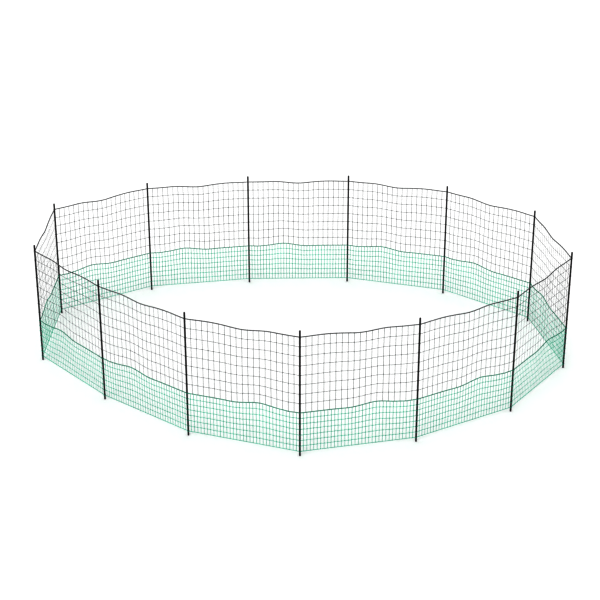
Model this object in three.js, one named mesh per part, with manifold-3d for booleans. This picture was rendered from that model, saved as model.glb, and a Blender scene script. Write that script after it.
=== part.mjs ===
// Fence netting: thirteen posts in a closed ring, with an open net above and a closer net below.
// Millimetres, +Z up. The ring stands on z = 0 and the origin is the middle of its plan.
import * as THREE from "three";
import { mergeVertices } from "three/addons/utils/BufferGeometryUtils.js";
import Module from "manifold-3d";

// Posts
const POST_COUNT = 13;
const POST_DIAMETER = 14;
const POST_ABOVE_TOP_ROPE = 58;
const POST_FACETS = 16;

// Netting, measured along one bay from post centre to post centre, and up from the ground
const BAY_SPACING = 1000;
const GROUND_GAP = 40;
const LOWER_ROWS = 7;
const LOWER_ROW_HEIGHT = 51.7;
const LOWER_COLUMNS = 34;
const UPPER_ROWS = 8;
const UPPER_ROW_HEIGHT = 86.2;
const UPPER_COLUMNS = 20;

// Thickness of the netting's strands and ropes
const STRAND_THICKNESS = 3;
const BOTTOM_STRAND_THICKNESS = 4;
const MID_ROPE_THICKNESS = 6;
const TOP_ROPE_THICKNESS = 7;

// The solids hold every horizontal strand, and only as many vertical ones as part a bay into
// this many fields. Each stands where a real one does. The strands between them are fine mesh.
const SOLID_FIELDS = 4;

// Gap between pieces that touch
const CLEARANCE = 0.3;

// Plan of the ring: the direction of each bay turns evenly, plus a few gentle waves that make
// it the uneven oval in which such a net is set out. Angles are in degrees.
const FIRST_BAY_DIRECTION = 13;
const OVAL_WAVE = { perTurn: 2, size: 14.4, start: 220 };
const EGG_WAVE = { perTurn: 3, size: 7.3, start: 31 };
const CORNER_WAVE = { perTurn: 4, size: 6.3, start: 87 };

// How far the ropes run up and down between two posts
const TOP_ROPE_DIP = 15;
const TOP_ROPE_LIFT = 4.5;
const MID_ROPE_HUMP = 26;
const MID_ROPE_DIP = 4;

// Where they do so, as shares of the bay, seen from outside the ring
const TOP_ROPE_WAVES = [
  { at: 0.2, width: 0.12, rise: TOP_ROPE_LIFT },
  { at: 0.5, width: 0.13, rise: -TOP_ROPE_DIP },
  { at: 0.73, width: 0.09, rise: TOP_ROPE_LIFT },
];
const MID_ROPE_WAVES = [
  { at: 0.42, width: 0.08, rise: -MID_ROPE_DIP },
  { at: 0.65, width: 0.13, rise: MID_ROPE_HUMP },
  { at: 0.92, width: 0.05, rise: -MID_ROPE_DIP },
];
const UPPER_WAVE_FADE = 1.5;
const BAYS_HUNG_THE_OTHER_WAY = [11, 12];

// Sizes that follow from those above
const POST_RADIUS = POST_DIAMETER / 2;
const MID_ROPE_HEIGHT = GROUND_GAP + LOWER_ROWS * LOWER_ROW_HEIGHT;
const TOP_ROPE_HEIGHT = MID_ROPE_HEIGHT + UPPER_ROWS * UPPER_ROW_HEIGHT;
const POST_LENGTH = TOP_ROPE_HEIGHT + POST_ABOVE_TOP_ROPE;
const BAY_START = POST_RADIUS + CLEARANCE;
const BAY_END = BAY_SPACING - BAY_START;

const postMaterial = new THREE.MeshStandardMaterial({
  color: 0x17181a,
  roughness: 0.45,
  metalness: 0,
});
const upperNetMaterial = new THREE.MeshStandardMaterial({
  color: 0x3a3f40,
  roughness: 0.8,
  metalness: 0,
});
const lowerNetMaterial = new THREE.MeshStandardMaterial({
  color: 0x2f8a67,
  roughness: 0.8,
  metalness: 0,
});

const wasm = await Module();
wasm.setup();

// A closed three.js mesh as a solid that can be joined to others.
function solidFrom(geometry) {
  const bare = geometry.clone();
  bare.deleteAttribute("normal");
  bare.deleteAttribute("uv");
  const merged = mergeVertices(bare, 1e-4);
  return new wasm.Manifold(
    new wasm.Mesh({
      numProp: 3,
      vertProperties: merged.attributes.position.array,
      triVerts: new Uint32Array(merged.index.array),
    }),
  );
}

function geometryFrom(solid) {
  const mesh = solid.getMesh();
  const geometry = new THREE.BufferGeometry();
  geometry.setAttribute("position", new THREE.BufferAttribute(mesh.vertProperties, 3));
  geometry.setIndex(new THREE.BufferAttribute(mesh.triVerts, 1));
  const faceted = geometry.toNonIndexed();
  faceted.computeVertexNormals();
  return faceted;
}

// Height that a rope gains from its waves at a share of the bay, fading out at the posts.
function waveHeight(waves, share) {
  const nearPost = Math.min(1, 10 * share, 10 * (1 - share));
  const bumps = waves.map((w) => w.rise * Math.exp(-(((share - w.at) / w.width) ** 2)));
  return nearPost * bumps.reduce((sum, bump) => sum + bump, 0);
}

// Centre height of a strand of the upper net: row 0 is the top rope, the last is the mid rope.
function upperStrandHeight(row, share) {
  const depth = row / UPPER_ROWS;
  const fromTop = (1 - depth) ** UPPER_WAVE_FADE * waveHeight(TOP_ROPE_WAVES, share);
  const fromMid = depth ** UPPER_WAVE_FADE * waveHeight(MID_ROPE_WAVES, share);
  return TOP_ROPE_HEIGHT - row * UPPER_ROW_HEIGHT + fromTop + fromMid;
}

// Centre height of a strand of the lower net: row 0 is the mid rope, the last lies straight.
function lowerStrandHeight(row, share) {
  const fade = 1 - row / LOWER_ROWS;
  const level = MID_ROPE_HEIGHT - row * LOWER_ROW_HEIGHT;
  return level + fade * waveHeight(MID_ROPE_WAVES, share);
}

// Where the solid vertical strands of a net stand, as shares of the bay, with its two ends.
function solidColumnShares(columns) {
  const shares = [];
  for (let field = 0; field <= SOLID_FIELDS; field += 1) {
    shares.push(Math.round((field * columns) / SOLID_FIELDS) / columns);
  }
  return shares;
}

const UPPER_NET = { columnShares: solidColumnShares(UPPER_COLUMNS), heightOf: upperStrandHeight };
const LOWER_NET = { columnShares: solidColumnShares(LOWER_COLUMNS), heightOf: lowerStrandHeight };

// A strand's height in the solids, where it runs straight from one vertical strand to the next.
function solidHeight(net, row, x, mirrored) {
  const share = mirrored ? 1 - x / BAY_SPACING : x / BAY_SPACING;
  const field = Math.max(1, net.columnShares.findIndex((end) => end >= share));
  const [start, end] = [net.columnShares[field - 1], net.columnShares[field]];
  const left = net.heightOf(row, start);
  const right = net.heightOf(row, end);
  return left + ((right - left) * (share - start)) / (end - start);
}

// A flat outline in the bay's upright plane, given a thickness across that plane.
function uprightPlate(outline, thickness) {
  const shape = new THREE.Shape(outline.map(([x, z]) => new THREE.Vector2(x, z)));
  const plate = new THREE.ExtrudeGeometry(shape, { depth: thickness, bevelEnabled: false });
  plate.translate(0, 0, -thickness / 2);
  return plate.rotateX(Math.PI / 2);
}

// Places of a net's solid vertical strands along the bay.
function columnPlaces(net, mirrored) {
  const inner = net.columnShares.slice(1, -1);
  const shares = mirrored ? inner.map((share) => 1 - share).reverse() : inner;
  return shares.map((share) => share * BAY_SPACING);
}

// One horizontal strand from post to post.
function horizontalStrand(net, row, thickness, mirrored) {
  const stations = [BAY_START, ...columnPlaces(net, mirrored), BAY_END];
  const edge = (x, side) => [x, solidHeight(net, row, x, mirrored) + (side * thickness) / 2];
  const under = stations.map((x) => edge(x, -1));
  const over = stations.map((x) => edge(x, 1)).reverse();
  return uprightPlate([...under, ...over], thickness);
}

// One vertical strand between two heights, which follow the strands that it ends on.
function verticalStrand(x, bottomAt, topAt) {
  const left = x - STRAND_THICKNESS / 2;
  const right = x + STRAND_THICKNESS / 2;
  const outline = [
    [left, bottomAt(left)],
    [right, bottomAt(right)],
    [right, topAt(right)],
    [left, topAt(left)],
  ];
  return uprightPlate(outline, STRAND_THICKNESS);
}

function joined(geometries) {
  const whole = geometries.map(solidFrom).reduce((sum, next) => sum.add(next));
  return geometryFrom(whole);
}

// The upper net of one bay, with the top rope. Its verticals end on the mid rope.
function upperNetPanel(mirrored) {
  const bars = [horizontalStrand(UPPER_NET, 0, TOP_ROPE_THICKNESS, mirrored)];
  for (let row = 1; row < UPPER_ROWS; row += 1) {
    bars.push(horizontalStrand(UPPER_NET, row, STRAND_THICKNESS, mirrored));
  }
  const onMidRope = MID_ROPE_THICKNESS / 2 + CLEARANCE;
  const bottomAt = (x) => solidHeight(LOWER_NET, 0, x, mirrored) + onMidRope;
  const topAt = (x) => solidHeight(UPPER_NET, 0, x, mirrored);
  for (const x of columnPlaces(UPPER_NET, mirrored)) {
    bars.push(verticalStrand(x, bottomAt, topAt));
  }
  return joined(bars);
}

// The lower net of one bay, with the mid rope and the bottom strand.
function lowerNetPanel(mirrored) {
  const bars = [
    horizontalStrand(LOWER_NET, 0, MID_ROPE_THICKNESS, mirrored),
    horizontalStrand(LOWER_NET, LOWER_ROWS, BOTTOM_STRAND_THICKNESS, mirrored),
  ];
  for (let row = 1; row < LOWER_ROWS; row += 1) {
    bars.push(horizontalStrand(LOWER_NET, row, STRAND_THICKNESS, mirrored));
  }
  const bottomAt = (x) => solidHeight(LOWER_NET, LOWER_ROWS, x, mirrored);
  const topAt = (x) => solidHeight(LOWER_NET, 0, x, mirrored);
  for (const x of columnPlaces(LOWER_NET, mirrored)) {
    bars.push(verticalStrand(x, bottomAt, topAt));
  }
  return joined(bars);
}

// Directions of the bays before the ring is closed, and their even turning angles.
function openRingDirections() {
  const directions = [];
  for (let bay = 0; bay < POST_COUNT; bay += 1) {
    const turned = (360 * bay) / POST_COUNT;
    const waves = [OVAL_WAVE, EGG_WAVE, CORNER_WAVE].map(
      (w) => w.size * Math.sin(THREE.MathUtils.degToRad(w.perTurn * turned + w.start)),
    );
    const direction = FIRST_BAY_DIRECTION + turned + waves.reduce((a, b) => a + b);
    directions.push({
      turned: THREE.MathUtils.degToRad(turned),
      direction: THREE.MathUtils.degToRad(direction),
    });
  }
  return directions;
}

// Turns the bays by one slow wave, whose two sizes are found by Newton's method, so that the
// last bay ends exactly where the first one starts.
function closedRingDirections() {
  const open = openRingDirections();
  let sine = 0;
  let cosine = 0;
  const directionsNow = () =>
    open.map((b) => b.direction + sine * Math.sin(b.turned) + cosine * Math.cos(b.turned));
  for (let pass = 0; pass < 20; pass += 1) {
    const now = directionsNow();
    const sum = (value) => now.reduce((total, angle, i) => total + value(angle, open[i].turned), 0);
    const gapX = sum((angle) => Math.cos(angle));
    const gapY = sum((angle) => Math.sin(angle));
    const xBySine = -sum((angle, turned) => Math.sin(angle) * Math.sin(turned));
    const xByCosine = -sum((angle, turned) => Math.sin(angle) * Math.cos(turned));
    const yBySine = sum((angle, turned) => Math.cos(angle) * Math.sin(turned));
    const yByCosine = sum((angle, turned) => Math.cos(angle) * Math.cos(turned));
    const determinant = xBySine * yByCosine - xByCosine * yBySine;
    sine -= (gapX * yByCosine - gapY * xByCosine) / determinant;
    cosine -= (gapY * xBySine - gapX * yBySine) / determinant;
  }
  return directionsNow();
}

// Centre of each post, with the middle of the ring's plan at the origin.
function postPlaces(directions) {
  const places = [];
  const place = new THREE.Vector3();
  for (const direction of directions) {
    places.push(place.clone());
    place.x += BAY_SPACING * Math.cos(direction);
    place.y += BAY_SPACING * Math.sin(direction);
  }
  const middle = new THREE.Box3().setFromPoints(places).getCenter(new THREE.Vector3());
  return places.map((p) => p.sub(middle));
}

function namedMesh(name, geometry, material) {
  const mesh = new THREE.Mesh(geometry, material);
  mesh.name = name;
  return mesh;
}

function fenceRing() {
  const ring = new THREE.Group();
  const postGeometry = new THREE.CylinderGeometry(
    POST_RADIUS,
    POST_RADIUS,
    POST_LENGTH,
    POST_FACETS,
  );
  postGeometry.rotateX(Math.PI / 2).translate(0, 0, POST_LENGTH / 2);
  const upperPanels = { plain: upperNetPanel(false), mirrored: upperNetPanel(true) };
  const lowerPanels = { plain: lowerNetPanel(false), mirrored: lowerNetPanel(true) };

  const directions = closedRingDirections();
  postPlaces(directions).forEach((place, i) => {
    const number = String(i + 1).padStart(2, "0");
    const hand = BAYS_HUNG_THE_OTHER_WAY.includes(i + 1) ? "mirrored" : "plain";
    const bay = new THREE.Group();
    bay.position.copy(place);
    bay.rotation.z = directions[i];
    bay.add(
      namedMesh("post_" + number, postGeometry, postMaterial),
      namedMesh("upper_net_" + number, upperPanels[hand], upperNetMaterial),
      namedMesh("lower_net_" + number, lowerPanels[hand], lowerNetMaterial),
    );
    ring.add(bay);
  });
  return ring;
}

const fence = fenceRing();
export default fence;
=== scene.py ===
"""Fence netting: twine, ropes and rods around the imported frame. Metres, +Z up."""

import math

import bmesh
import bpy
from mathutils import Matrix, Vector


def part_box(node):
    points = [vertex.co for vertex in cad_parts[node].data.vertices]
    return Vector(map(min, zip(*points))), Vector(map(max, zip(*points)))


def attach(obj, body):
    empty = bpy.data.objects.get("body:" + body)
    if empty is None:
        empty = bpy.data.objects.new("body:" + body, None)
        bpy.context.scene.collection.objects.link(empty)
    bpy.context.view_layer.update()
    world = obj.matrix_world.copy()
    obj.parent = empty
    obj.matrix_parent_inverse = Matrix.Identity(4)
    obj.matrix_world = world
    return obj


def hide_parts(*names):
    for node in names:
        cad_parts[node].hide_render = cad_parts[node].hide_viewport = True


bl_info = {
    "name": "Fence Netting",
    "version": (1, 0, 0),
    "blender": (4, 5, 0),
    "location": "3D View > Sidebar > Netting",
    "description": "Makes the rods, the twine mesh and the ropes of a ring of fence netting",
    "category": "Add Mesh",
}

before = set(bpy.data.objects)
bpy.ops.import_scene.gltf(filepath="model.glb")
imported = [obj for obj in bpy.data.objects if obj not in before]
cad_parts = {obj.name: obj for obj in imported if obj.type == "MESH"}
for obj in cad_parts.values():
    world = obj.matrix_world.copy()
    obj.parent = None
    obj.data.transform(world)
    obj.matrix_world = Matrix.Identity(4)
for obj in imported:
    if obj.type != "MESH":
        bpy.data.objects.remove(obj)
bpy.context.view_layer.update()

# What the frame says about the ring
BODY = "root"
NUMBERS = sorted(name[-2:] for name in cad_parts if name.startswith("post_"))
POST_BOXES = [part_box("post_" + number) for number in NUMBERS]
POST_LENGTH = POST_BOXES[0][1].z - POST_BOXES[0][0].z

# Where the ropes rise and fall between two posts, as shares of the bay seen from outside:
# the middle of each rise or dip, and its half width
TOP_ROPE_WAVES = ((0.2, 0.12), (0.5, 0.13), (0.73, 0.09))
MID_ROPE_WAVES = ((0.42, 0.08), (0.65, 0.13), (0.92, 0.05))
STRAIGHT_WAVES = ()
BAYS_HUNG_THE_OTHER_WAY = ("11", "12")

# Mesh detail
STRAND_SIDES = 6
ROPE_SIDES = 12
ROPE_PLIES = 3.0
ROPE_RINGS_PER_TURN = 12
STEPS_PER_MESH = 2.0
STRAND_TURNS = 100.0
EYE_STEPS = 12
KNOT_SEGMENTS = 8
KNOT_RINGS = 5
KNOT_SEED = 11
BAY_SEED_STEP = 3.7
ROD_SIDES = 32
ROD_EDGE = 0.0018
ROD_EDGE_STEPS = 3
TINY = 0.0001

# A rope's wave has its full height once it is 1/10 of the bay away from a post.
WAVE_START = 10.0

# The noise that moves the knots: its run from one knot to the next, its start, the factor
# that brings its usual range to about 1 each way, and the share of it left at the ropes
STRAY_STEP_ALONG = 0.37
STRAY_STEP_DOWN = 0.43
STRAY_START_ALONG = 0.21
STRAY_START_DOWN = 0.17
STRAY_GAIN = 4.0
STRAY_AT_ROPE = 0.15

# How far a net ends from the post's twine, and the sizes of knots and hitches, as shares of
# a strand's thickness. A hitch is this much larger than half the rope. Leans are in radians.
STRAND_CLEARANCE = 0.2
KNOT_WIDTH = 1.02
KNOT_HEIGHT = 1.57
KNOT_LEAN = ((-0.3, 0.5, -0.4), (0.3, 1.1, 0.4))
HITCH_GIRTH = 0.35
HITCH_WIDTH = 0.85
HITCH_LEAN = 0.25
HITCH_TURN = 0.2

# How far a rope's plies stand out, as a share of its radius, and the pitch in metres that
# leaves a strand's tube as good as straight
ROPE_LOBE = 0.13
STRAIGHT_PITCH = 1000.0

# Looks of the twine
TWIST_GROUP = "Twisted Twine"
STRAND_PLIES = 2.0
STRAND_ROUGHNESS = 0.6
STRAND_GROOVE = 0.0004
ROPE_ROUGHNESS = 0.55
ROPE_GROOVE = 0.0006
ROUGHNESS_SPREAD = 0.12
GROOVE_STRENGTH = 0.8
FIBRE_SCALE = 900.0
FIBRE_RANGE = (0.3, 0.7)
FIBRE_SHADES = (0.75, 1.2)
FIBRE_RELIEF = 0.35
WEAR = 0.35
WEAR_SCALE = 5.0
WEAR_RANGE = (0.45, 0.75)
FADE_GAIN = 1.5
FADE_LIFT = 0.02
SHINE = 0.35

# Looks of the rods
DIE_LINE_SCALE = 1400.0
DIE_LINE_STRETCH = 0.02
DIE_LINE_DEPTH = 0.0004
DIE_LINE_STRENGTH = 0.35
SCUFF_SCALE = 42.0
SCUFF_RANGE = (0.56, 0.72)
SCUFF_STRENGTH = 0.45
SCUFF_GAIN = 4.0
SCUFF_LIFT = 0.01
ROD_NOISE_RANGE = (0.3, 0.7)
ROD_ROUGHNESS = (0.34, 0.58)


class NettingSizes(bpy.types.PropertyGroup):
    """Sizes of the netting and its ropes"""

    bottom_height: bpy.props.FloatProperty(
        name="Bottom strand height", description="From the ground to the bottom strand",
        default=0.040, unit="LENGTH")
    lower_row_height: bpy.props.FloatProperty(
        name="Lower mesh height", description="Height of one mesh of the lower net",
        default=0.0517, unit="LENGTH")
    lower_rows: bpy.props.IntProperty(
        name="Lower rows", description="Rows of mesh in the lower net", default=7)
    lower_columns: bpy.props.IntProperty(
        name="Lower columns", description="Meshes of the lower net in one bay", default=34)
    upper_row_height: bpy.props.FloatProperty(
        name="Upper mesh height", description="Height of one mesh of the upper net",
        default=0.0862, unit="LENGTH")
    upper_rows: bpy.props.IntProperty(
        name="Upper rows", description="Rows of mesh in the upper net", default=8)
    upper_columns: bpy.props.IntProperty(
        name="Upper columns", description="Meshes of the upper net in one bay", default=20)
    upper_strand_thickness: bpy.props.FloatProperty(
        name="Upper strand thickness", description="Across one strand of the black mesh",
        default=0.0030, unit="LENGTH")
    lower_strand_thickness: bpy.props.FloatProperty(
        name="Lower strand thickness", description="Across one strand of the green mesh",
        default=0.0037, unit="LENGTH")
    hem_thickness: bpy.props.FloatProperty(
        name="Bottom strand thickness", description="Across the bottom strand",
        default=0.0040, unit="LENGTH")
    mid_rope_thickness: bpy.props.FloatProperty(
        name="Mid rope thickness", description="Across the rope between the two nets",
        default=0.0060, unit="LENGTH")
    top_rope_thickness: bpy.props.FloatProperty(
        name="Top rope thickness", description="Across the top rope",
        default=0.0070, unit="LENGTH")
    rope_pitch: bpy.props.FloatProperty(
        name="Rope pitch", description="Length of rope in which its plies turn once",
        default=0.030, unit="LENGTH")
    top_rope_lift: bpy.props.FloatProperty(
        name="Top rope lift", description="Rise of the top rope beside its dip",
        default=0.0045, unit="LENGTH")
    top_rope_dip: bpy.props.FloatProperty(
        name="Top rope dip", description="Dip of the top rope in the middle of a bay",
        default=0.015, unit="LENGTH")
    mid_rope_hump: bpy.props.FloatProperty(
        name="Mid rope hump", description="Rise of the mid rope past the middle of a bay",
        default=0.026, unit="LENGTH")
    mid_rope_dip: bpy.props.FloatProperty(
        name="Mid rope dip", description="Dip of the mid rope on each side of its hump",
        default=0.004, unit="LENGTH")
    wave_fade: bpy.props.FloatProperty(
        name="Wave fade", description="How fast a rope's wave fades out in the upper net",
        default=1.5)
    looseness: bpy.props.FloatProperty(
        name="Looseness", description="How far a knot strays from its even place",
        default=0.0016, unit="LENGTH")
    slack: bpy.props.FloatProperty(
        name="Slack", description="Sag of a strand between two knots",
        default=0.0009, unit="LENGTH")
    flatness: bpy.props.FloatProperty(
        name="Flatness", description="Depth of a strand as a share of its width",
        default=0.30, subtype="FACTOR", min=0.1, max=1.0)


class NettingColours(bpy.types.PropertyGroup):
    """Colours of the rods, twine and ropes, with the painted shade in the grooves between the
    twine's plies
    """

    rod: bpy.props.FloatVectorProperty(
        name="Rod", description="Colour of the posts", subtype="COLOR", size=3,
        default=(0.010, 0.010, 0.011))
    # Painted shade in the grooves between the plies of the upper mesh and of the top rope
    upper_twine: bpy.props.FloatVectorProperty(
        name="Upper twine", description="Painted shade in the grooves of the upper mesh and top rope", subtype="COLOR", size=3,
        default=(0.010, 0.011, 0.012))
    upper_fleck: bpy.props.FloatVectorProperty(
        name="Upper fleck", description="Light ply of the upper mesh", subtype="COLOR", size=3,
        default=(0.100, 0.105, 0.108))
    top_rope: bpy.props.FloatVectorProperty(
        name="Top rope", description="Light ply of the top rope", subtype="COLOR", size=3,
        default=(0.140, 0.144, 0.148))
    # Painted shade in the grooves between the plies of the lower mesh; it is the mid rope's own
    # colour on its plies
    lower_twine: bpy.props.FloatVectorProperty(
        name="Lower twine", description="Painted shade in the grooves of the lower mesh, the mid rope's own colour", subtype="COLOR", size=3,
        default=(0.013, 0.320, 0.203))
    lower_fleck: bpy.props.FloatVectorProperty(
        name="Lower fleck", description="Bright ply of the lower mesh", subtype="COLOR", size=3,
        default=(0.040, 0.555, 0.380))
    # Painted shade in the grooves between the plies of the mid rope
    mid_rope: bpy.props.FloatVectorProperty(
        name="Mid rope", description="Painted shade in the grooves of the mid rope", subtype="COLOR", size=3,
        default=(0.006, 0.120, 0.070))


def add_node(tree, kind, values=None, **settings):
    """A new node with its settings made and its inputs, by name or number, linked or set."""
    node = tree.nodes.new(kind)
    for name, value in settings.items():
        setattr(node, name, value)
    for key, value in (values or {}).items():
        if isinstance(key, int):
            socket = node.inputs[key]
        else:
            socket = next(s for s in node.inputs if s.name == key and s.enabled)
        if isinstance(value, bpy.types.NodeSocket):
            tree.links.new(value, socket)
        else:
            socket.default_value = value
    return node


def out(node, name=None):
    return next(s for s in node.outputs if s.enabled and (name is None or s.name == name))


def calc(tree, operation, *values):
    """The result of a math node on these values."""
    node = add_node(tree, "ShaderNodeMath", dict(enumerate(values)), operation=operation)
    return node.outputs[0]


def combine(tree, x, y, z):
    return out(add_node(tree, "ShaderNodeCombineXYZ", {"X": x, "Y": y, "Z": z}))


def scaled(tree, vector, factor):
    return out(add_node(tree, "ShaderNodeVectorMath", {0: vector, "Scale": factor},
                        operation="SCALE"))


def noise(tree, vector, scale, detail, roughness):
    return add_node(tree, "ShaderNodeTexNoise", {
        "Vector": vector, "Scale": scale, "Detail": detail, "Roughness": roughness})


def stretch(tree, value, start, end, new_start, new_end):
    """The value moved from one range to another, and held inside the new one."""
    return out(add_node(tree, "ShaderNodeMapRange", {
        "Value": value, "From Min": start, "From Max": end, "To Min": new_start,
        "To Max": new_end}))


def rise_names(top_waves, bottom_waves):
    """The names of the inputs that give the height of each wave."""
    names = ["Top Rise %d" % (i + 1) for i in range(len(top_waves))]
    return names + ["Bottom Rise %d" % (i + 1) for i in range(len(bottom_waves))]


def new_tree(name, kind, inputs, outputs):
    """A node group with its sockets made, and its input and output nodes."""
    tree = bpy.data.node_groups.new(name, kind)
    for label, socket_type, default in inputs:
        socket = tree.interface.new_socket(label, in_out="INPUT", socket_type=socket_type)
        if default is not None:
            socket.default_value = default
    for label, socket_type in outputs:
        tree.interface.new_socket(label, in_out="OUTPUT", socket_type=socket_type)
    entry = tree.nodes.new("NodeGroupInput")
    leave = tree.nodes.new("NodeGroupOutput")
    return tree, entry, leave


def wave_height(tree, share, waves, rises):
    """Sum of a rope's rises and dips at a share of the bay, none of it at the posts."""
    from_end = calc(tree, "SUBTRACT", 1.0, share)
    near_post = calc(tree, "MINIMUM", calc(tree, "MULTIPLY", share, WAVE_START),
                     calc(tree, "MULTIPLY", from_end, WAVE_START))
    near_post = calc(tree, "MINIMUM", near_post, 1.0)
    total = 0.0
    for (middle, width), rise in zip(waves, rises):
        distance = calc(tree, "DIVIDE", calc(tree, "SUBTRACT", share, middle), width)
        square = calc(tree, "MULTIPLY", distance, distance)
        bump = calc(tree, "EXPONENT", calc(tree, "MULTIPLY", square, -1.0))
        total = calc(tree, "ADD", total, calc(tree, "MULTIPLY", bump, rise))
    return calc(tree, "MULTIPLY", total, near_post)


def place_tree(name, top_waves, bottom_waves):
    """Node group: the place of a point of the net, from its share of the bay and its depth."""
    rises = rise_names(top_waves, bottom_waves)
    sizes = ["Share", "Depth", "Mirrored", "Seed", "Bay Length", "End Gap", "Top Height",
             "Row Height", "Rows", "Columns", "Fade", "Looseness", "Slack"] + rises
    tree, entry, leave = new_tree(
        name, "GeometryNodeTree", [(label, "NodeSocketFloat", 0.0) for label in sizes],
        [("Place", "NodeSocketVector")])
    share, depth = out(entry, "Share"), out(entry, "Depth")
    seen = add_node(tree, "ShaderNodeMix", {
        "Factor": out(entry, "Mirrored"), "A": share, "B": calc(tree, "SUBTRACT", 1.0, share)})
    seen = out(seen)

    top_rises = [out(entry, n) for n in rises[:len(top_waves)]]
    bottom_rises = [out(entry, n) for n in rises[len(top_waves):]]
    above = calc(tree, "POWER", calc(tree, "SUBTRACT", 1.0, depth), out(entry, "Fade"))
    below = calc(tree, "POWER", depth, out(entry, "Fade"))
    lift = calc(tree, "MULTIPLY", above, wave_height(tree, seen, top_waves, top_rises))
    if bottom_waves:
        from_below = wave_height(tree, seen, bottom_waves, bottom_rises)
        lift = calc(tree, "ADD", lift, calc(tree, "MULTIPLY", below, from_below))

    across = calc(tree, "MULTIPLY", share, out(entry, "Columns"))
    down = calc(tree, "MULTIPLY", depth, out(entry, "Rows"))
    stray_at = combine(
        tree, calc(tree, "MULTIPLY_ADD", across, STRAY_STEP_ALONG, STRAY_START_ALONG),
        calc(tree, "MULTIPLY_ADD", down, STRAY_STEP_DOWN, STRAY_START_DOWN), out(entry, "Seed"))
    drawn = noise(tree, stray_at, 1.0, 1.0, 0.5)
    even = add_node(tree, "ShaderNodeVectorMath", {
        0: out(drawn, "Color"), 1: (0.5, 0.5, 0.5)}, operation="SUBTRACT")
    # The ropes hold the mesh nearly still, so it strays most halfway down the net.
    held = calc(tree, "SINE", calc(tree, "MULTIPLY", depth, math.pi))
    held = calc(tree, "ADD", held, STRAY_AT_ROPE)
    stray = scaled(tree, out(even), calc(tree, "MULTIPLY", out(entry, "Looseness"), STRAY_GAIN))
    stray = scaled(tree, stray, held)

    sag = calc(tree, "ABSOLUTE", calc(tree, "SINE", calc(tree, "MULTIPLY", across, math.pi)))
    sag = calc(tree, "MULTIPLY", sag, out(entry, "Slack"))
    height = calc(tree, "SUBTRACT", out(entry, "Top Height"),
                  calc(tree, "MULTIPLY", down, out(entry, "Row Height")))
    height = calc(tree, "SUBTRACT", calc(tree, "ADD", height, lift), sag)
    along = calc(tree, "MULTIPLY", share, out(entry, "Bay Length"))
    even_place = combine(tree, along, 0.0, height)
    place = add_node(tree, "ShaderNodeVectorMath", {0: even_place, 1: stray})
    parts = add_node(tree, "ShaderNodeSeparateXYZ", {0: out(place)})
    last = calc(tree, "SUBTRACT", out(entry, "Bay Length"), out(entry, "End Gap"))
    kept = calc(tree, "MINIMUM", calc(tree, "MAXIMUM", out(parts, "X"), out(entry, "End Gap")),
                last)
    tree.links.new(combine(tree, kept, out(parts, "Y"), out(parts, "Z")), leave.inputs[0])
    return tree


def tube_tree():
    """Node group: a curve as a closed tube that keeps its length and angle for the twist."""
    tree, entry, leave = new_tree("Twine Tube", "GeometryNodeTree", [
        ("Curve", "NodeSocketGeometry", None), ("Thickness", "NodeSocketFloat", 0.003),
        ("Sides", "NodeSocketInt", STRAND_SIDES), ("Plies", "NodeSocketFloat", 0.0),
        ("Lobe", "NodeSocketFloat", 0.0), ("Pitch", "NodeSocketFloat", 1.0),
        ("Cap", "NodeSocketBool", True),
    ], [("Mesh", "NodeSocketGeometry")])
    run = add_node(tree, "GeometryNodeSplineParameter")
    capture = add_node(tree, "GeometryNodeCaptureAttribute", {"Geometry": out(entry, "Curve")})
    capture.capture_items.new("FLOAT", "Along")
    tree.links.new(out(run, "Length"), capture.inputs["Along"])
    turn = calc(tree, "DIVIDE", out(run, "Length"), out(entry, "Pitch"))
    twisted = add_node(tree, "GeometryNodeSetCurveTilt", {
        "Curve": out(capture, "Geometry"), "Tilt": calc(tree, "MULTIPLY", turn, math.tau)})

    circle = add_node(tree, "GeometryNodeCurvePrimitiveCircle", {
        "Resolution": out(entry, "Sides"),
        "Radius": calc(tree, "MULTIPLY", out(entry, "Thickness"), 0.5)})
    round_run = add_node(tree, "GeometryNodeSplineParameter")
    angle = calc(tree, "MULTIPLY", out(round_run, "Factor"), math.tau)
    around = add_node(tree, "GeometryNodeCaptureAttribute", {"Geometry": out(circle, "Curve")})
    around.capture_items.new("FLOAT", "Cosine")
    around.capture_items.new("FLOAT", "Sine")
    tree.links.new(calc(tree, "COSINE", angle), around.inputs["Cosine"])
    tree.links.new(calc(tree, "SINE", angle), around.inputs["Sine"])
    swell = calc(tree, "COSINE", calc(tree, "MULTIPLY", angle, out(entry, "Plies")))
    swell = calc(tree, "MULTIPLY_ADD", swell, out(entry, "Lobe"), 1.0)
    here = add_node(tree, "GeometryNodeInputPosition")
    section = add_node(tree, "GeometryNodeSetPosition", {
        "Geometry": out(around, "Geometry"), "Position": scaled(tree, out(here), swell)})

    mesh = add_node(tree, "GeometryNodeCurveToMesh", {
        "Curve": out(twisted), "Profile Curve": out(section), "Fill Caps": out(entry, "Cap")})
    mark = add_node(tree, "GeometryNodeStoreNamedAttribute", {
        "Geometry": out(mesh), "Name": "twine",
        "Value": combine(tree, out(around, "Cosine"), out(around, "Sine"),
                         out(capture, "Along"))},
        data_type="FLOAT_VECTOR", domain="POINT")
    smooth = add_node(tree, "GeometryNodeSetShadeSmooth", {"Geometry": out(mark)})
    tree.links.new(out(smooth), leave.inputs[0])
    return tree


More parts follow.
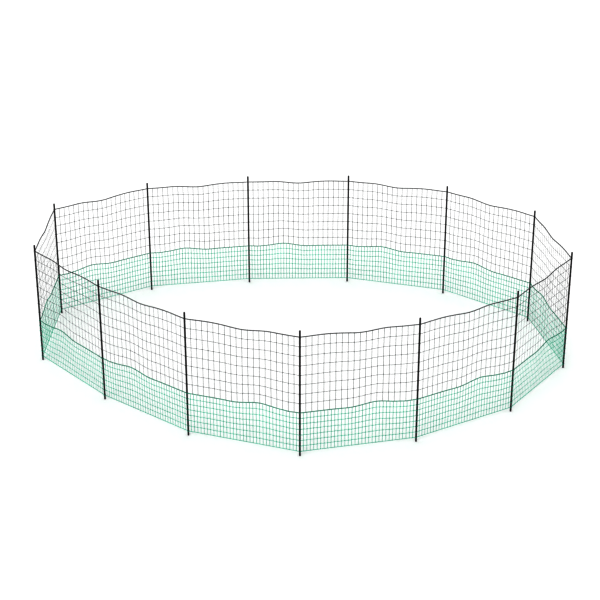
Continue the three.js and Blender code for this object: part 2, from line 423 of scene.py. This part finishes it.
NET_SIZES = [
    ("Post Place", "NodeSocketVector"), ("Direction", "NodeSocketFloat"),
    ("Mirrored", "NodeSocketFloat"), ("Seed", "NodeSocketFloat"),
    ("Bay Length", "NodeSocketFloat"), ("Post Radius", "NodeSocketFloat"),
    ("Top Height", "NodeSocketFloat"), ("Row Height", "NodeSocketFloat"),
    ("Rows", "NodeSocketInt"), ("Columns", "NodeSocketInt"), ("Fade", "NodeSocketFloat"),
    ("Looseness", "NodeSocketFloat"), ("Slack", "NodeSocketFloat"),
    ("Strand Thickness", "NodeSocketFloat"), ("Rope Thickness", "NodeSocketFloat"),
    ("Hem Thickness", "NodeSocketFloat"), ("Rope Pitch", "NodeSocketFloat"),
    ("Flatness", "NodeSocketFloat"),
]


def net_tree(name, top_waves, bottom_waves, has_hem):
    """Geometry nodes that make one bay of net: its mesh, knots, rope and eyes on the post."""
    rises = rise_names(top_waves, bottom_waves)
    inputs = [(label, kind, None) for label, kind in NET_SIZES]
    inputs += [(label, "NodeSocketFloat", 0.0) for label in rises]
    inputs += [("Twine Material", "NodeSocketMaterial", None),
               ("Rope Material", "NodeSocketMaterial", None)]
    tree, entry, leave = new_tree(name, "GeometryNodeTree", inputs,
                                  [("Geometry", "NodeSocketGeometry")])
    places = place_tree(name + " Place", top_waves, bottom_waves)
    tubes = tube_tree()
    columns = out(entry, "Columns")
    level_count = calc(tree, "ADD", out(entry, "Rows"), 1.0)
    upright_count = calc(tree, "ADD", columns, 1.0)
    fine_count = calc(tree, "MULTIPLY_ADD", columns, STEPS_PER_MESH, 1.0)
    strand = out(entry, "Strand Thickness")
    eye_radius = calc(tree, "MULTIPLY_ADD", strand, 0.5, out(entry, "Post Radius"))
    end_gap = calc(tree, "ADD", eye_radius, calc(tree, "MULTIPLY", strand, STRAND_CLEARANCE))

    def share_and_depth():
        """A grid point's share of the bay and its depth down the net, both from 0 to 1."""
        spot = add_node(tree, "GeometryNodeInputPosition")
        parts = add_node(tree, "ShaderNodeSeparateXYZ", {0: out(spot)})
        return (calc(tree, "ADD", out(parts, "X"), 0.5),
                calc(tree, "SUBTRACT", 0.5, out(parts, "Y")))

    def place_at(share, depth, slack, looseness, gap):
        same = ["Mirrored", "Seed", "Bay Length", "Top Height", "Row Height", "Rows",
                "Columns", "Fade"] + rises
        values = {label: out(entry, label) for label in same}
        values.update({"Share": share, "Depth": depth, "Slack": slack,
                       "Looseness": looseness, "End Gap": gap})
        return out(add_node(tree, "GeometryNodeGroup", values, node_tree=places))

    def tube(curve, thickness, sides=STRAND_SIDES, plies=0.0, lobe=0.0,
             pitch=STRAIGHT_PITCH, cap=True):
        return out(add_node(tree, "GeometryNodeGroup", {
            "Curve": curve, "Thickness": thickness, "Sides": sides, "Plies": plies,
            "Lobe": lobe, "Pitch": pitch, "Cap": cap}, node_tree=tubes))

    def moved(geometry, place):
        return out(add_node(tree, "GeometryNodeSetPosition", {
            "Geometry": geometry, "Position": place}))

    def grid_of(columns_of_points, rows_of_points):
        return out(add_node(tree, "GeometryNodeMeshGrid", {
            "Size X": 1.0, "Size Y": 1.0, "Vertices X": columns_of_points,
            "Vertices Y": rows_of_points}), "Mesh")

    def without(points, selection):
        return out(add_node(tree, "GeometryNodeDeleteGeometry", {
            "Geometry": points, "Selection": selection}, domain="POINT"))

    def without_rim(mesh, value):
        """The points left when those at both ends of a share or depth are taken out."""
        low = calc(tree, "LESS_THAN", value, TINY)
        high = calc(tree, "GREATER_THAN", value, 1 - TINY)
        return without(mesh, calc(tree, "ADD", low, high))

    def joined(parts):
        node = tree.nodes.new("GeometryNodeJoinGeometry")
        for part in parts:
            tree.links.new(part, node.inputs[0])
        return out(node)

    def strands(columns_of_points, rows_of_points, axis, slack):
        """Lines along one axis of a grid, as tubes. The grid's own rim lines are left out."""
        grid = grid_of(columns_of_points, rows_of_points)
        ends = add_node(tree, "GeometryNodeInputMeshEdgeVertices")
        run = add_node(tree, "ShaderNodeVectorMath", {
            0: out(ends, "Position 1"), 1: out(ends, "Position 2")}, operation="SUBTRACT")
        run = add_node(tree, "ShaderNodeSeparateXYZ", {0: out(run)})
        crosswise = calc(tree, "LESS_THAN", calc(tree, "ABSOLUTE", out(run, axis)), TINY)
        lines = add_node(tree, "GeometryNodeDeleteGeometry", {
            "Geometry": grid, "Selection": crosswise}, domain="EDGE", mode="EDGE_FACE")
        share, depth = share_and_depth()
        lines = without_rim(out(lines), depth if axis == "X" else share)
        place = place_at(share, depth, slack, out(entry, "Looseness"), end_gap)
        curves = add_node(tree, "GeometryNodeMeshToCurve", {"Mesh": moved(lines, place)})
        return tube(out(curves), strand)

    def edge_line(depth, count):
        """The line of the net's top or bottom edge, in this many points."""
        line = add_node(tree, "GeometryNodeCurvePrimitiveLine", {
            "Start": (0.0, 0.0, 0.0), "End": (1.0, 0.0, 0.0)})
        points = add_node(tree, "GeometryNodeResampleCurve", {
            "Curve": out(line), "Count": count})
        spot = add_node(tree, "GeometryNodeInputPosition")
        share = out(add_node(tree, "ShaderNodeSeparateXYZ", {0: out(spot)}), "X")
        gap = calc(tree, "MULTIPLY_ADD", strand, 0.5, eye_radius)
        return moved(out(points), place_at(share, depth, 0.0, 0.0, gap))

    def rope():
        """The rope of three twisted plies along the top edge."""
        turns = calc(tree, "DIVIDE", out(entry, "Bay Length"), out(entry, "Rope Pitch"))
        line = edge_line(0.0, calc(tree, "MULTIPLY", turns, ROPE_RINGS_PER_TURN))
        return tube(line, out(entry, "Rope Thickness"), ROPE_SIDES, ROPE_PLIES, ROPE_LOBE,
                    out(entry, "Rope Pitch"))

    def bead():
        """The ball of a knot or hitch. Its twist goes once round from end to end."""
        ball = add_node(tree, "GeometryNodeMeshUVSphere", {
            "Segments": KNOT_SEGMENTS, "Rings": KNOT_RINGS, "Radius": 1.0})
        spot = add_node(tree, "GeometryNodeInputPosition")
        wound = add_node(tree, "ShaderNodeVectorMath", {
            0: out(spot), 1: (1.0, 1.0, 0.5 / STRAND_TURNS)}, operation="MULTIPLY")
        return out(add_node(tree, "GeometryNodeStoreNamedAttribute", {
            "Geometry": out(ball, "Mesh"), "Name": "twine", "Value": out(wound)},
            data_type="FLOAT_VECTOR", domain="POINT"))

    def beads(points, looseness, lean_from, lean_to, size):
        """Beads on points of the grid, each turned a little its own way."""
        share, depth = share_and_depth()
        placed = moved(points, place_at(share, depth, 0.0, looseness, end_gap))
        lean = add_node(tree, "FunctionNodeRandomValue", {
            "Min": lean_from, "Max": lean_to, "Seed": KNOT_SEED}, data_type="FLOAT_VECTOR")
        turned = add_node(tree, "GeometryNodeInstanceOnPoints", {
            "Points": placed, "Instance": bead(), "Rotation": out(lean), "Scale": size})
        solid = add_node(tree, "GeometryNodeRealizeInstances", {"Geometry": out(turned)})
        return out(add_node(tree, "GeometryNodeSetShadeSmooth", {"Geometry": out(solid)}))

    def inner_crossings():
        share = share_and_depth()[0]
        return without_rim(grid_of(upright_count, level_count), share)

    def knots():
        """The knot where two strands of the mesh cross."""
        points = without_rim(inner_crossings(), share_and_depth()[1])
        width = calc(tree, "MULTIPLY", strand, KNOT_WIDTH)
        size = combine(tree, width, width, calc(tree, "MULTIPLY", strand, KNOT_HEIGHT))
        return beads(points, out(entry, "Looseness"), *KNOT_LEAN, size)

    def hitches(top, thickness):
        """The hitch that each upright strand ends in, round the rope or strand of an edge."""
        depth = share_and_depth()[1]
        if top:
            away = calc(tree, "GREATER_THAN", depth, TINY)
        else:
            away = calc(tree, "LESS_THAN", depth, 1 - TINY)
        points = without(inner_crossings(), away)
        girth = calc(tree, "MULTIPLY_ADD", strand, HITCH_GIRTH,
                     calc(tree, "MULTIPLY", thickness, 0.5))
        size = combine(tree, girth, girth, calc(tree, "MULTIPLY", strand, HITCH_WIDTH))
        quarter = math.pi / 2
        return beads(points, 0.0, (0.0, quarter - HITCH_LEAN, -HITCH_TURN),
                     (0.0, quarter + HITCH_LEAN, HITCH_TURN), size)

    def eyes():
        """The turns of twine that hold each strand and rope to the post where the bay starts."""
        share, depth = share_and_depth()
        far = calc(tree, "GREATER_THAN", share, TINY)
        points = without(grid_of(2, level_count), far)
        if not has_hem:
            # The mid rope has its eyes in the lower net.
            points = without(points, calc(tree, "GREATER_THAN", depth, 1 - TINY))
        height = add_node(tree, "ShaderNodeSeparateXYZ", {
            0: place_at(share, depth, 0.0, 0.0, 0.0)})
        placed = moved(points, combine(tree, 0.0, 0.0, out(height, "Z")))
        ring = add_node(tree, "GeometryNodeCurvePrimitiveCircle", {
            "Resolution": EYE_STEPS, "Radius": eye_radius})
        eye = tube(out(ring, "Curve"), strand, cap=False)
        turned = add_node(tree, "GeometryNodeInstanceOnPoints", {
            "Points": placed, "Instance": eye})
        return out(add_node(tree, "GeometryNodeRealizeInstances", {"Geometry": out(turned)}))

    level = strands(fine_count, level_count, "X", out(entry, "Slack"))
    upright = strands(upright_count, level_count, "Y", 0.0)
    pressed = add_node(tree, "GeometryNodeTransform", {
        "Geometry": joined([level, upright, knots()]),
        "Scale": combine(tree, 1.0, out(entry, "Flatness"), 1.0)})
    twine = [out(pressed), eyes(), hitches(True, out(entry, "Rope Thickness")),
             hitches(False, out(entry, "Hem Thickness"))]
    if has_hem:
        twine.append(tube(edge_line(1.0, fine_count), out(entry, "Hem Thickness")))

    coated = []
    for part, material in ((joined(twine), "Twine Material"), (rope(), "Rope Material")):
        real = add_node(tree, "GeometryNodeRealizeInstances", {"Geometry": part})
        coated.append(out(add_node(tree, "GeometryNodeSetMaterial", {
            "Geometry": out(real), "Material": out(entry, material)})))
    stood = add_node(tree, "GeometryNodeTransform", {
        "Geometry": joined(coated), "Translation": out(entry, "Post Place"),
        "Rotation": combine(tree, 0.0, 0.0, out(entry, "Direction"))})
    tree.links.new(out(stood), leave.inputs[0])
    return tree


def twist_group():
    """Shader node group: the plies, fibres and wear of twisted twine, from its own attribute."""
    tree, entry, leave = new_tree(TWIST_GROUP, "ShaderNodeTree", [
        ("Plies", "NodeSocketFloat", STRAND_PLIES),
        ("Turns per Metre", "NodeSocketFloat", STRAND_TURNS),
        ("Fibre Scale", "NodeSocketFloat", FIBRE_SCALE), ("Wear", "NodeSocketFloat", WEAR),
    ], [("Ply", "NodeSocketFloat"), ("Fleck", "NodeSocketFloat"), ("Height", "NodeSocketFloat"),
        ("Worn", "NodeSocketFloat")])
    around = add_node(tree, "ShaderNodeAttribute", attribute_name="twine")
    parts = add_node(tree, "ShaderNodeSeparateXYZ", {0: out(around, "Vector")})
    angle = calc(tree, "ARCTAN2", out(parts, "Y"), out(parts, "X"))
    turn = calc(tree, "MULTIPLY", out(parts, "Z"), out(entry, "Turns per Metre"))
    turn = calc(tree, "MULTIPLY", turn, math.tau)
    phase = calc(tree, "MULTIPLY", calc(tree, "ADD", angle, turn), out(entry, "Plies"))
    # Ply goes from 0 in the grooves to 1 on the crests of the plies; it sets their relief, and
    # in the twine materials the painted shade in the grooves.
    ply = calc(tree, "MULTIPLY_ADD", calc(tree, "COSINE", phase), 0.5, 0.5)
    tree.links.new(ply, leave.inputs["Ply"])

    spot = add_node(tree, "ShaderNodeTexCoord")
    fibre = noise(tree, out(spot, "Object"), out(entry, "Fibre Scale"), 3.0, 0.65)
    tree.links.new(out(fibre, "Fac"), leave.inputs["Fleck"])
    groove = calc(tree, "SQRT", calc(tree, "MAXIMUM", ply, 0.0))
    height = calc(tree, "MULTIPLY_ADD", out(fibre, "Fac"), FIBRE_RELIEF, groove)
    tree.links.new(height, leave.inputs["Height"])
    broad = noise(tree, out(spot, "Object"), WEAR_SCALE, 4.0, 0.6)
    worn = stretch(tree, out(broad, "Fac"), *WEAR_RANGE, 0.0, out(entry, "Wear"))
    tree.links.new(worn, leave.inputs["Worn"])
    return tree


def colour(value):
    return (*value, 1.0)


def mix_colours(tree, factor, first, second):
    return out(add_node(tree, "ShaderNodeMix", {"Factor": factor, "A": first, "B": second},
                        data_type="RGBA"), "Result")


def new_material(name):
    material = bpy.data.materials.new(name)
    material.use_nodes = True
    return material, material.node_tree.nodes["Principled BSDF"]


def twine_material(name, groove_shade, bright, turns, plies, roughness, groove):
    """Twisted plastic twine: painted shade in the grooves between its plies, a fibre grain and
    faded stretches.

    A rope's mesh is twisted already, so its pattern has no turns of its own.
    """
    material, shader = new_material(name)
    tree = material.node_tree
    twist = bpy.data.node_groups.get(TWIST_GROUP) or twist_group()
    group = add_node(tree, "ShaderNodeGroup", {
        "Plies": plies, "Turns per Metre": turns, "Fibre Scale": FIBRE_SCALE, "Wear": WEAR},
        node_tree=twist)
    # The first colour, where the ply is low, is painted shade in the grooves between the plies;
    # the bright colour is the twine's own colour on the plies.
    plied = mix_colours(tree, out(group, "Ply"), colour(groove_shade), colour(bright))
    faded = [min(1.0, channel * FADE_GAIN + FADE_LIFT) for channel in bright]
    worn = mix_colours(tree, out(group, "Worn"), plied, colour(faded))
    shade = stretch(tree, out(group, "Fleck"), *FIBRE_RANGE, *FIBRE_SHADES)
    tree.links.new(scaled(tree, worn, shade), shader.inputs["Base Color"])
    rough = stretch(tree, out(group, "Fleck"), 0.0, 1.0, roughness - ROUGHNESS_SPREAD,
                    roughness + ROUGHNESS_SPREAD)
    tree.links.new(rough, shader.inputs["Roughness"])
    bump = add_node(tree, "ShaderNodeBump", {
        "Height": out(group, "Height"), "Distance": groove, "Strength": GROOVE_STRENGTH})
    tree.links.new(out(bump), shader.inputs["Normal"])
    shader.inputs["Specular IOR Level"].default_value = SHINE
    return material


def rod_material(base):
    """Drawn black plastic: faint lengthwise die lines, small scuffs and uneven gloss."""
    material, shader = new_material("rod_black")
    tree = material.node_tree
    spot = add_node(tree, "ShaderNodeTexCoord")
    drawn = add_node(tree, "ShaderNodeMapping", {
        "Vector": out(spot, "Object"), "Scale": (1.0, 1.0, DIE_LINE_STRETCH)})
    lines = noise(tree, out(drawn), DIE_LINE_SCALE, 3.0, 0.6)
    scuffs = noise(tree, out(spot, "Object"), SCUFF_SCALE, 6.0, 0.7)
    scuffed = stretch(tree, out(scuffs, "Fac"), *SCUFF_RANGE, 0.0, SCUFF_STRENGTH)
    pale = tuple(min(1.0, channel * SCUFF_GAIN + SCUFF_LIFT) for channel in base)
    scuffed_colour = mix_colours(tree, scuffed, colour(base), colour(pale))
    tree.links.new(scuffed_colour, shader.inputs["Base Color"])
    rough = stretch(tree, out(scuffs, "Fac"), *ROD_NOISE_RANGE, *ROD_ROUGHNESS)
    tree.links.new(rough, shader.inputs["Roughness"])
    bump = add_node(tree, "ShaderNodeBump", {
        "Height": out(lines, "Fac"), "Distance": DIE_LINE_DEPTH,
        "Strength": DIE_LINE_STRENGTH})
    tree.links.new(out(bump), shader.inputs["Normal"])
    return material


def link(obj):
    bpy.context.scene.collection.objects.link(obj)
    return obj


def post_centre(i):
    low, high = POST_BOXES[i % len(POST_BOXES)]
    middle = (low + high) / 2
    return Vector((middle.x, middle.y, 0.0))


def post_radius():
    low, high = POST_BOXES[0]
    return max(high.x - low.x, high.y - low.y) / 2


def set_modifier_inputs(modifier, values):
    """Sets a geometry nodes modifier's inputs by their sockets' identifiers."""
    for item in modifier.node_group.interface.items_tree:
        if item.item_type == "SOCKET" and item.in_out == "INPUT" and item.name in values:
            modifier[item.identifier] = values[item.name]


def plain_mesh_from(tree, values, name):
    """The tree's result as an object with a plain mesh and no modifier."""
    seed = link(bpy.data.objects.new(name + "_seed", bpy.data.meshes.new(name + "_seed")))
    modifier = seed.modifiers.new("Netting", "NODES")
    modifier.node_group = tree
    set_modifier_inputs(modifier, values)
    depsgraph = bpy.context.evaluated_depsgraph_get()
    mesh = bpy.data.meshes.new_from_object(
        seed.evaluated_get(depsgraph), preserve_all_data_layers=True, depsgraph=depsgraph)
    if not mesh.polygons:
        raise RuntimeError(name + " came out empty")
    for i in reversed(range(len(mesh.materials))):
        if mesh.materials[i] is None:
            mesh.materials.pop(index=i)
    mesh.name = name
    bpy.data.objects.remove(seed)
    return link(bpy.data.objects.new(name, mesh))


def bay_values(i, sizes):
    """What every net of bay i needs: its place, direction, length and hand."""
    start, end = post_centre(i), post_centre(i + 1)
    run = end - start
    return {
        "Post Place": start,
        "Direction": math.atan2(run.y, run.x),
        "Mirrored": 1.0 if NUMBERS[i] in BAYS_HUNG_THE_OTHER_WAY else 0.0,
        "Seed": BAY_SEED_STEP * (i + 1),
        "Bay Length": run.length,
        "Post Radius": post_radius(),
        "Looseness": sizes.looseness,
        "Slack": sizes.slack,
        "Flatness": sizes.flatness,
    }


def mid_rope_height(sizes):
    return sizes.bottom_height + sizes.lower_rows * sizes.lower_row_height


def finish_piece(piece, node):
    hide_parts(node)
    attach(piece, BODY)


def make_nets(tree, shared, sizes, level):
    """One net for each bay, in the upper or the lower level."""
    for i, number in enumerate(NUMBERS):
        values = {**bay_values(i, sizes), **shared}
        piece = plain_mesh_from(tree, values, level + "_netting_" + number)
        finish_piece(piece, level + "_net_" + number)


class NETTING_OT_rods(bpy.types.Operator):
    """Make the upright rods with smooth sides and softened ends"""

    bl_idname = "netting.rods"
    bl_label = "Rods"

    def execute(self, context):
        material = rod_material(context.scene.netting_colours.rod)
        for i, number in enumerate(NUMBERS):
            piece = self.rod("rod_" + number, post_centre(i))
            piece.data.materials.append(material)
            finish_piece(piece, "post_" + number)
        return {"FINISHED"}

    def rod(self, name, foot):
        mesh = bpy.data.meshes.new(name)
        shape = bmesh.new()
        middle = Matrix.Translation(foot + Vector((0.0, 0.0, POST_LENGTH / 2)))
        bmesh.ops.create_cone(shape, cap_ends=True, segments=ROD_SIDES, radius1=post_radius(),
                              radius2=post_radius(), depth=POST_LENGTH, matrix=middle)
        rims = [e for e in shape.edges if abs(e.verts[0].co.z - e.verts[1].co.z) < TINY]
        bmesh.ops.bevel(shape, geom=rims, offset=ROD_EDGE, segments=ROD_EDGE_STEPS,
                        profile=0.5, affect="EDGES", clamp_overlap=True)
        for face in shape.faces:
            face.smooth = len(face.verts) == 4
        shape.to_mesh(mesh)
        shape.free()
        return link(bpy.data.objects.new(name, mesh))


class NETTING_OT_upper_nets(bpy.types.Operator):
    """Make the wide upper mesh of each bay, with the top rope"""

    bl_idname = "netting.upper_nets"
    bl_label = "Upper nets"

    def execute(self, context):
        sizes = context.scene.netting_sizes
        colours = context.scene.netting_colours
        # The first colour of each twine material is painted shade in the grooves between its
        # plies.
        twine = twine_material("upper_twine", colours.upper_twine, colours.upper_fleck,
                               STRAND_TURNS, STRAND_PLIES, STRAND_ROUGHNESS, STRAND_GROOVE)
        rope = twine_material("top_rope", colours.upper_twine, colours.top_rope,
                              0.0, ROPE_PLIES, ROPE_ROUGHNESS, ROPE_GROOVE)
        tree = net_tree("Upper Netting", TOP_ROPE_WAVES, MID_ROPE_WAVES, has_hem=False)
        top = mid_rope_height(sizes) + sizes.upper_rows * sizes.upper_row_height
        shared = {
            "Top Height": top, "Row Height": sizes.upper_row_height, "Rows": sizes.upper_rows,
            "Columns": sizes.upper_columns, "Fade": sizes.wave_fade,
            "Strand Thickness": sizes.upper_strand_thickness,
            "Hem Thickness": sizes.mid_rope_thickness,
            "Rope Thickness": sizes.top_rope_thickness, "Rope Pitch": sizes.rope_pitch,
            "Top Rise 1": sizes.top_rope_lift, "Top Rise 2": -sizes.top_rope_dip,
            "Top Rise 3": sizes.top_rope_lift, "Bottom Rise 1": -sizes.mid_rope_dip,
            "Bottom Rise 2": sizes.mid_rope_hump, "Bottom Rise 3": -sizes.mid_rope_dip,
            "Twine Material": twine, "Rope Material": rope,
        }
        make_nets(tree, shared, sizes, "upper")
        return {"FINISHED"}


class NETTING_OT_lower_nets(bpy.types.Operator):
    """Make the close lower mesh of each bay, with the mid rope and the bottom strand"""

    bl_idname = "netting.lower_nets"
    bl_label = "Lower nets"

    def execute(self, context):
        sizes = context.scene.netting_sizes
        colours = context.scene.netting_colours
        # The first colour of each twine material is painted shade in the grooves between its
        # plies.
        twine = twine_material("lower_twine", colours.lower_twine, colours.lower_fleck,
                               STRAND_TURNS, STRAND_PLIES, STRAND_ROUGHNESS, STRAND_GROOVE)
        rope = twine_material("mid_rope", colours.mid_rope, colours.lower_twine,
                              0.0, ROPE_PLIES, ROPE_ROUGHNESS, ROPE_GROOVE)
        tree = net_tree("Lower Netting", MID_ROPE_WAVES, STRAIGHT_WAVES, has_hem=True)
        shared = {
            "Top Height": mid_rope_height(sizes), "Row Height": sizes.lower_row_height,
            "Rows": sizes.lower_rows, "Columns": sizes.lower_columns, "Fade": 1.0,
            "Strand Thickness": sizes.lower_strand_thickness,
            "Hem Thickness": sizes.hem_thickness,
            "Rope Thickness": sizes.mid_rope_thickness, "Rope Pitch": sizes.rope_pitch,
            "Top Rise 1": -sizes.mid_rope_dip, "Top Rise 2": sizes.mid_rope_hump,
            "Top Rise 3": -sizes.mid_rope_dip,
            "Twine Material": twine, "Rope Material": rope,
        }
        make_nets(tree, shared, sizes, "lower")
        return {"FINISHED"}


# The camera, as fitted to the ends of the posts in the photo
CAMERA_PLACE = Vector((-0.016, -13.000, 6.706))
CAMERA_PITCH = math.radians(25.15)
FOCAL_PIXELS = 1581.0
PHOTO_WIDTH = 600.0
SENSOR_WIDTH = 36.0
CAMERA_REACH = 500.0

# The floor, and light bright enough that the floor comes out as the photo's plain white
FLOOR_SIZE = 120.0
FLOOR_DROP = 0.0005
FLOOR_GREY = 0.86
SKY_STRENGTH = 1.065
SUN_STRENGTH = 1.0
SUN_SPREAD = math.radians(40.0)
SUN_TILT = math.radians(50.0)
SUN_TURN = math.radians(-25.0)

# Below 1, so that strands thinner than a pixel show as dark as in the photo
PICTURE_GAMMA = 0.46


class NETTING_OT_stage(bpy.types.Operator):
    """Make the pale floor, the soft light and the camera"""

    bl_idname = "netting.stage"
    bl_label = "Stage"

    def execute(self, context):
        self.floor()
        self.light(context.scene)
        self.camera(context.scene)
        return {"FINISHED"}

    def floor(self):
        mesh = bpy.data.meshes.new("floor")
        half = FLOOR_SIZE / 2
        corners = [(-half, -half), (half, -half), (half, half), (-half, half)]
        mesh.from_pydata([(x, y, -FLOOR_DROP) for x, y in corners], [], [(0, 1, 2, 3)])
        floor = link(bpy.data.objects.new("floor", mesh))
        material, shader = new_material("floor_white")
        shader.inputs["Base Color"].default_value = colour((FLOOR_GREY,) * 3)
        shader.inputs["Roughness"].default_value = 1.0
        shader.inputs["Specular IOR Level"].default_value = 0.0
        mesh.materials.append(material)

    def light(self, scene):
        world = bpy.data.worlds.new("soft_white")
        world.use_nodes = True
        sky = world.node_tree.nodes["Background"]
        sky.inputs["Color"].default_value = (1.0, 1.0, 1.0, 1.0)
        sky.inputs["Strength"].default_value = SKY_STRENGTH
        scene.world = world
        lamp = bpy.data.lights.new("key", "SUN")
        lamp.energy = SUN_STRENGTH
        lamp.angle = SUN_SPREAD
        sun = link(bpy.data.objects.new("key", lamp))
        sun.rotation_euler = (SUN_TILT, 0.0, SUN_TURN)

    def camera(self, scene):
        lens = bpy.data.cameras.new("camera")
        lens.sensor_width = SENSOR_WIDTH
        lens.lens = SENSOR_WIDTH * FOCAL_PIXELS / PHOTO_WIDTH
        lens.clip_end = CAMERA_REACH
        camera = link(bpy.data.objects.new("camera", lens))
        camera.location = CAMERA_PLACE
        camera.rotation_euler = (math.pi / 2 - CAMERA_PITCH, 0.0, 0.0)
        scene.camera = camera
        scene.view_settings.view_transform = "Standard"
        scene.view_settings.look = "None"
        scene.view_settings.gamma = PICTURE_GAMMA


class NETTING_PT_panel(bpy.types.Panel):
    """Lists the steps and sizes of the fence netting"""

    bl_idname = "NETTING_PT_panel"
    bl_label = "Fence Netting"
    bl_space_type = "VIEW_3D"
    bl_region_type = "UI"
    bl_category = "Netting"

    def draw(self, context):
        for operator in OPERATORS:
            self.layout.operator(operator.bl_idname)
        for group in (context.scene.netting_sizes, context.scene.netting_colours):
            box = self.layout.box()
            for name in group.__annotations__:
                box.prop(group, name)


OPERATORS = (NETTING_OT_stage, NETTING_OT_rods, NETTING_OT_upper_nets, NETTING_OT_lower_nets)
CLASSES = (NettingSizes, NettingColours, *OPERATORS, NETTING_PT_panel)


def register():
    for made in CLASSES:
        bpy.utils.register_class(made)
    bpy.types.Scene.netting_sizes = bpy.props.PointerProperty(type=NettingSizes)
    bpy.types.Scene.netting_colours = bpy.props.PointerProperty(type=NettingColours)


def unregister():
    del bpy.types.Scene.netting_sizes
    del bpy.types.Scene.netting_colours
    for made in reversed(CLASSES):
        bpy.utils.unregister_class(made)


def main():
    register()
    bpy.ops.netting.stage()
    bpy.ops.netting.rods()
    bpy.ops.netting.upper_nets()
    bpy.ops.netting.lower_nets()


if __name__ == "__main__":
    main()
